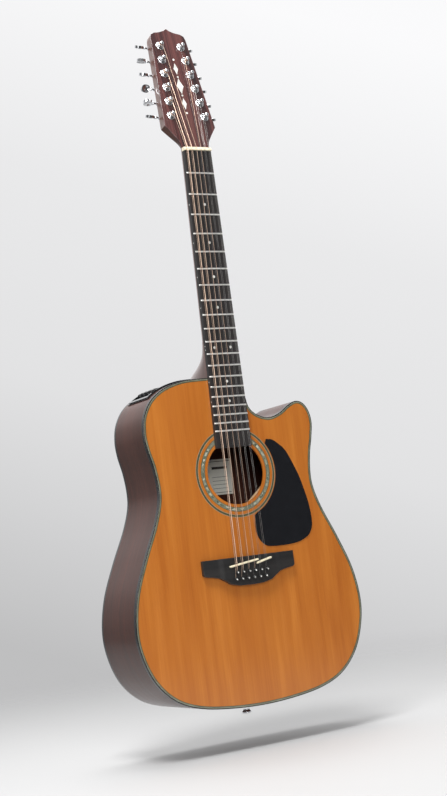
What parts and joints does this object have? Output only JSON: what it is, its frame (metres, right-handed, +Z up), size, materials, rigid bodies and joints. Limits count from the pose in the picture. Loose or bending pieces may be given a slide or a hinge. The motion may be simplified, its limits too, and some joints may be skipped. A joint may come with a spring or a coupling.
{
  "type": "acoustic guitar",
  "caption": "Steel-string acoustic guitar with a cutaway, paired strings, worm-geared tuners, black pickguard and bridge, and a preamp in the side.",
  "frame": {"origin": "middle of the body's tail edge, in the plane of the soundboard's front face, where a stand's cradle carries it", "axes": "+Z up the neck, -Y out of the front, +X towards the treble side (the player's lower side)"},
  "size_m": [0.3956, 0.1471, 1.0901],
  "materials": {
    "amber_spruce": "gloss amber lacquer over straight-grained spruce",
    "red_mahogany": "gloss lacquer over dark reddish-brown mahogany",
    "neck_mahogany": "gloss lacquer over reddish-brown mahogany",
    "bare_mahogany": "bare sanded mahogany",
    "bare_spruce": "bare planed spruce",
    "abalone": "polished shell inlay between dark rings",
    "black_pickguard": "glossy black sheet",
    "black_bridge": "satin black-dyed hardwood",
    "bone": "polished cream bone",
    "rosewood_board": "oiled dark rosewood with nickel frets",
    "rosewood_headplate": "gloss lacquer over rosewood veneer",
    "tuner_chrome": "bright chrome plate",
    "rod_steel": "plain steel",
    "bronze_string": "bronze-wound and plain steel strings",
    "preamp_black": "black moulded plastic",
    "preamp_control": "pale moulded plastic",
    "battery_case": "plain painted steel can"
  },
  "bodies": {
    "body": {"back_bracing": "bare_spruce", "back_panel": "red_mahogany", "bridge": "black_bridge", "bridge_plate": "bare_mahogany", "endpin_jack": "tuner_chrome", "fretboard": "rosewood_board", "headplate": "rosewood_headplate", "lining_back": "bare_mahogany", "lining_top": "bare_mahogany", "neck": "neck_mahogany", "neck_block": "bare_mahogany", "nut": "bone", "pickguard": "black_pickguard", "preamp_housing": "preamp_black", "rosette": "abalone", "saddle_long": "bone", "saddle_short": "bone", "side_bass": "red_mahogany", "side_treble": "red_mahogany", "soundboard": "amber_spruce", "strings": "bronze_string", "tail_block": "bare_mahogany", "tone_bar_1": "bare_spruce", "tone_bar_2": "bare_spruce", "truss_rod": "rod_steel", "tuner_housings_bass": "tuner_chrome", "tuner_housings_treble": "tuner_chrome", "upper_brace": "bare_spruce", "x_brace": "bare_spruce"},
    "tuner_button_01": {"tuner_button_01": "tuner_chrome"},
    "tuner_post_01": {"tuner_post_01": "tuner_chrome"},
    "tuner_button_02": {"tuner_button_02": "tuner_chrome"},
    "tuner_post_02": {"tuner_post_02": "tuner_chrome"},
    "tuner_button_03": {"tuner_button_03": "tuner_chrome"},
    "tuner_post_03": {"tuner_post_03": "tuner_chrome"},
    "tuner_button_04": {"tuner_button_04": "tuner_chrome"},
    "tuner_post_04": {"tuner_post_04": "tuner_chrome"},
    "tuner_button_05": {"tuner_button_05": "tuner_chrome"},
    "tuner_post_05": {"tuner_post_05": "tuner_chrome"},
    "tuner_button_06": {"tuner_button_06": "tuner_chrome"},
    "tuner_post_06": {"tuner_post_06": "tuner_chrome"},
    "tuner_button_07": {"tuner_button_07": "tuner_chrome"},
    "tuner_post_07": {"tuner_post_07": "tuner_chrome"},
    "tuner_button_08": {"tuner_button_08": "tuner_chrome"},
    "tuner_post_08": {"tuner_post_08": "tuner_chrome"},
    "tuner_button_09": {"tuner_button_09": "tuner_chrome"},
    "tuner_post_09": {"tuner_post_09": "tuner_chrome"},
    "tuner_button_10": {"tuner_button_10": "tuner_chrome"},
    "tuner_post_10": {"tuner_post_10": "tuner_chrome"},
    "tuner_button_11": {"tuner_button_11": "tuner_chrome"},
    "tuner_post_11": {"tuner_post_11": "tuner_chrome"},
    "tuner_button_12": {"tuner_button_12": "tuner_chrome"},
    "tuner_post_12": {"tuner_post_12": "tuner_chrome"},
    "preamp_knob_volume": {"preamp_knob_volume": "preamp_black"},
    "preamp_knob_bass": {"preamp_knob_bass": "preamp_black"},
    "preamp_knob_middle": {"preamp_knob_middle": "preamp_black"},
    "preamp_knob_treble": {"preamp_knob_treble": "preamp_black"},
    "preamp_tuner_button": {"preamp_tuner_button": "preamp_control"},
    "battery_drawer": {"battery_tray": "preamp_black", "battery": "battery_case"}
  },
  "joints": [
    {"name": "tuner_button_01_turn", "type": "hinge", "parent": "body", "child": "tuner_button_01", "pos_m": [-0.02931, 0.03166, 0.92027], "axis": [-0.9966, 0.018, 0.0799], "continuous": true},
    {"name": "tuner_post_01_turn", "type": "hinge", "parent": "body", "child": "tuner_post_01", "pos_m": [-0.0299, 0.03008, 0.91327], "axis": [0, -0.9755, 0.2198], "continuous": true},
    {"name": "tuner_button_02_turn", "type": "hinge", "parent": "body", "child": "tuner_button_02", "pos_m": [-0.02709, 0.0373, 0.94531], "axis": [-0.9966, 0.018, 0.0799], "continuous": true},
    {"name": "tuner_post_02_turn", "type": "hinge", "parent": "body", "child": "tuner_post_02", "pos_m": [-0.02768, 0.03572, 0.93831], "axis": [0, -0.9755, 0.2198], "continuous": true},
    {"name": "tuner_button_03_turn", "type": "hinge", "parent": "body", "child": "tuner_button_03", "pos_m": [-0.02487, 0.04294, 0.97035], "axis": [-0.9966, 0.018, 0.0799], "continuous": true},
    {"name": "tuner_post_03_turn", "type": "hinge", "parent": "body", "child": "tuner_post_03", "pos_m": [-0.02546, 0.04137, 0.96335], "axis": [0, -0.9755, 0.2198], "continuous": true},
    {"name": "tuner_button_04_turn", "type": "hinge", "parent": "body", "child": "tuner_button_04", "pos_m": [-0.02265, 0.04859, 0.99539], "axis": [-0.9966, 0.018, 0.0799], "continuous": true},
    {"name": "tuner_post_04_turn", "type": "hinge", "parent": "body", "child": "tuner_post_04", "pos_m": [-0.02324, 0.04701, 0.98839], "axis": [0, -0.9755, 0.2198], "continuous": true},
    {"name": "tuner_button_05_turn", "type": "hinge", "parent": "body", "child": "tuner_button_05", "pos_m": [-0.02043, 0.05423, 1.02044], "axis": [-0.9966, 0.018, 0.0799], "continuous": true},
    {"name": "tuner_post_05_turn", "type": "hinge", "parent": "body", "child": "tuner_post_05", "pos_m": [-0.02102, 0.05265, 1.01344], "axis": [0, -0.9755, 0.2198], "continuous": true},
    {"name": "tuner_button_06_turn", "type": "hinge", "parent": "body", "child": "tuner_button_06", "pos_m": [-0.01821, 0.05987, 1.04548], "axis": [-0.9966, 0.018, 0.0799], "continuous": true},
    {"name": "tuner_post_06_turn", "type": "hinge", "parent": "body", "child": "tuner_post_06", "pos_m": [-0.0188, 0.0583, 1.03848], "axis": [0, -0.9755, 0.2198], "continuous": true},
    {"name": "tuner_button_07_turn", "type": "hinge", "parent": "body", "child": "tuner_button_07", "pos_m": [0.02931, 0.03166, 0.92027], "axis": [0.9966, 0.018, 0.0799], "continuous": true},
    {"name": "tuner_post_07_turn", "type": "hinge", "parent": "body", "child": "tuner_post_07", "pos_m": [0.0299, 0.03008, 0.91327], "axis": [0, -0.9755, 0.2198], "continuous": true},
    {"name": "tuner_button_08_turn", "type": "hinge", "parent": "body", "child": "tuner_button_08", "pos_m": [0.02709, 0.0373, 0.94531], "axis": [0.9966, 0.018, 0.0799], "continuous": true},
    {"name": "tuner_post_08_turn", "type": "hinge", "parent": "body", "child": "tuner_post_08", "pos_m": [0.02768, 0.03572, 0.93831], "axis": [0, -0.9755, 0.2198], "continuous": true},
    {"name": "tuner_button_09_turn", "type": "hinge", "parent": "body", "child": "tuner_button_09", "pos_m": [0.02487, 0.04294, 0.97035], "axis": [0.9966, 0.018, 0.0799], "continuous": true},
    {"name": "tuner_post_09_turn", "type": "hinge", "parent": "body", "child": "tuner_post_09", "pos_m": [0.02546, 0.04137, 0.96335], "axis": [0, -0.9755, 0.2198], "continuous": true},
    {"name": "tuner_button_10_turn", "type": "hinge", "parent": "body", "child": "tuner_button_10", "pos_m": [0.02265, 0.04859, 0.99539], "axis": [0.9966, 0.018, 0.0799], "continuous": true},
    {"name": "tuner_post_10_turn", "type": "hinge", "parent": "body", "child": "tuner_post_10", "pos_m": [0.02324, 0.04701, 0.98839], "axis": [0, -0.9755, 0.2198], "continuous": true},
    {"name": "tuner_button_11_turn", "type": "hinge", "parent": "body", "child": "tuner_button_11", "pos_m": [0.02043, 0.05423, 1.02044], "axis": [0.9966, 0.018, 0.0799], "continuous": true},
    {"name": "tuner_post_11_turn", "type": "hinge", "parent": "body", "child": "tuner_post_11", "pos_m": [0.02102, 0.05265, 1.01344], "axis": [0, -0.9755, 0.2198], "continuous": true},
    {"name": "tuner_button_12_turn", "type": "hinge", "parent": "body", "child": "tuner_button_12", "pos_m": [0.01821, 0.05987, 1.04548], "axis": [0.9966, 0.018, 0.0799], "continuous": true},
    {"name": "tuner_post_12_turn", "type": "hinge", "parent": "body", "child": "tuner_post_12", "pos_m": [0.0188, 0.0583, 1.03848], "axis": [0, -0.9755, 0.2198], "continuous": true},
    {"name": "preamp_knob_volume_turn", "type": "hinge", "parent": "body", "child": "preamp_knob_volume", "pos_m": [-0.10801, 0.03, 0.48591], "axis": [-0.4441, 0, 0.896], "range_deg": [-150, 150]},
    {"name": "preamp_knob_bass_turn", "type": "hinge", "parent": "body", "child": "preamp_knob_bass", "pos_m": [-0.10801, 0.044, 0.48591], "axis": [-0.4441, 0, 0.896], "range_deg": [-150, 150]},
    {"name": "preamp_knob_middle_turn", "type": "hinge", "parent": "body", "child": "preamp_knob_middle", "pos_m": [-0.10801, 0.058, 0.48591], "axis": [-0.4441, 0, 0.896], "range_deg": [-150, 150]},
    {"name": "preamp_knob_treble_turn", "type": "hinge", "parent": "body", "child": "preamp_knob_treble", "pos_m": [-0.10801, 0.072, 0.48591], "axis": [-0.4441, 0, 0.896], "range_deg": [-150, 150]},
    {"name": "preamp_tuner_button_press", "type": "slide", "parent": "body", "child": "preamp_tuner_button", "axis": [0.2659, 0, -0.964], "range_m": [0, 0.0008], "stiffness_N_per_m": 300},
    {"name": "battery_drawer_slide", "type": "slide", "parent": "body", "child": "battery_drawer", "axis": [-0.0998, 0, 0.995], "range_m": [0, 0.048]}
  ],
  "couplings": [
    {"joint": "tuner_post_01_turn", "follows": "tuner_button_01_turn", "ratio": 0.071429},
    {"joint": "tuner_post_02_turn", "follows": "tuner_button_02_turn", "ratio": 0.071429},
    {"joint": "tuner_post_03_turn", "follows": "tuner_button_03_turn", "ratio": 0.071429},
    {"joint": "tuner_post_04_turn", "follows": "tuner_button_04_turn", "ratio": 0.071429},
    {"joint": "tuner_post_05_turn", "follows": "tuner_button_05_turn", "ratio": 0.071429},
    {"joint": "tuner_post_06_turn", "follows": "tuner_button_06_turn", "ratio": 0.071429},
    {"joint": "tuner_post_07_turn", "follows": "tuner_button_07_turn", "ratio": 0.071429},
    {"joint": "tuner_post_08_turn", "follows": "tuner_button_08_turn", "ratio": 0.071429},
    {"joint": "tuner_post_09_turn", "follows": "tuner_button_09_turn", "ratio": 0.071429},
    {"joint": "tuner_post_10_turn", "follows": "tuner_button_10_turn", "ratio": 0.071429},
    {"joint": "tuner_post_11_turn", "follows": "tuner_button_11_turn", "ratio": 0.071429},
    {"joint": "tuner_post_12_turn", "follows": "tuner_button_12_turn", "ratio": 0.071429}
  ]
}
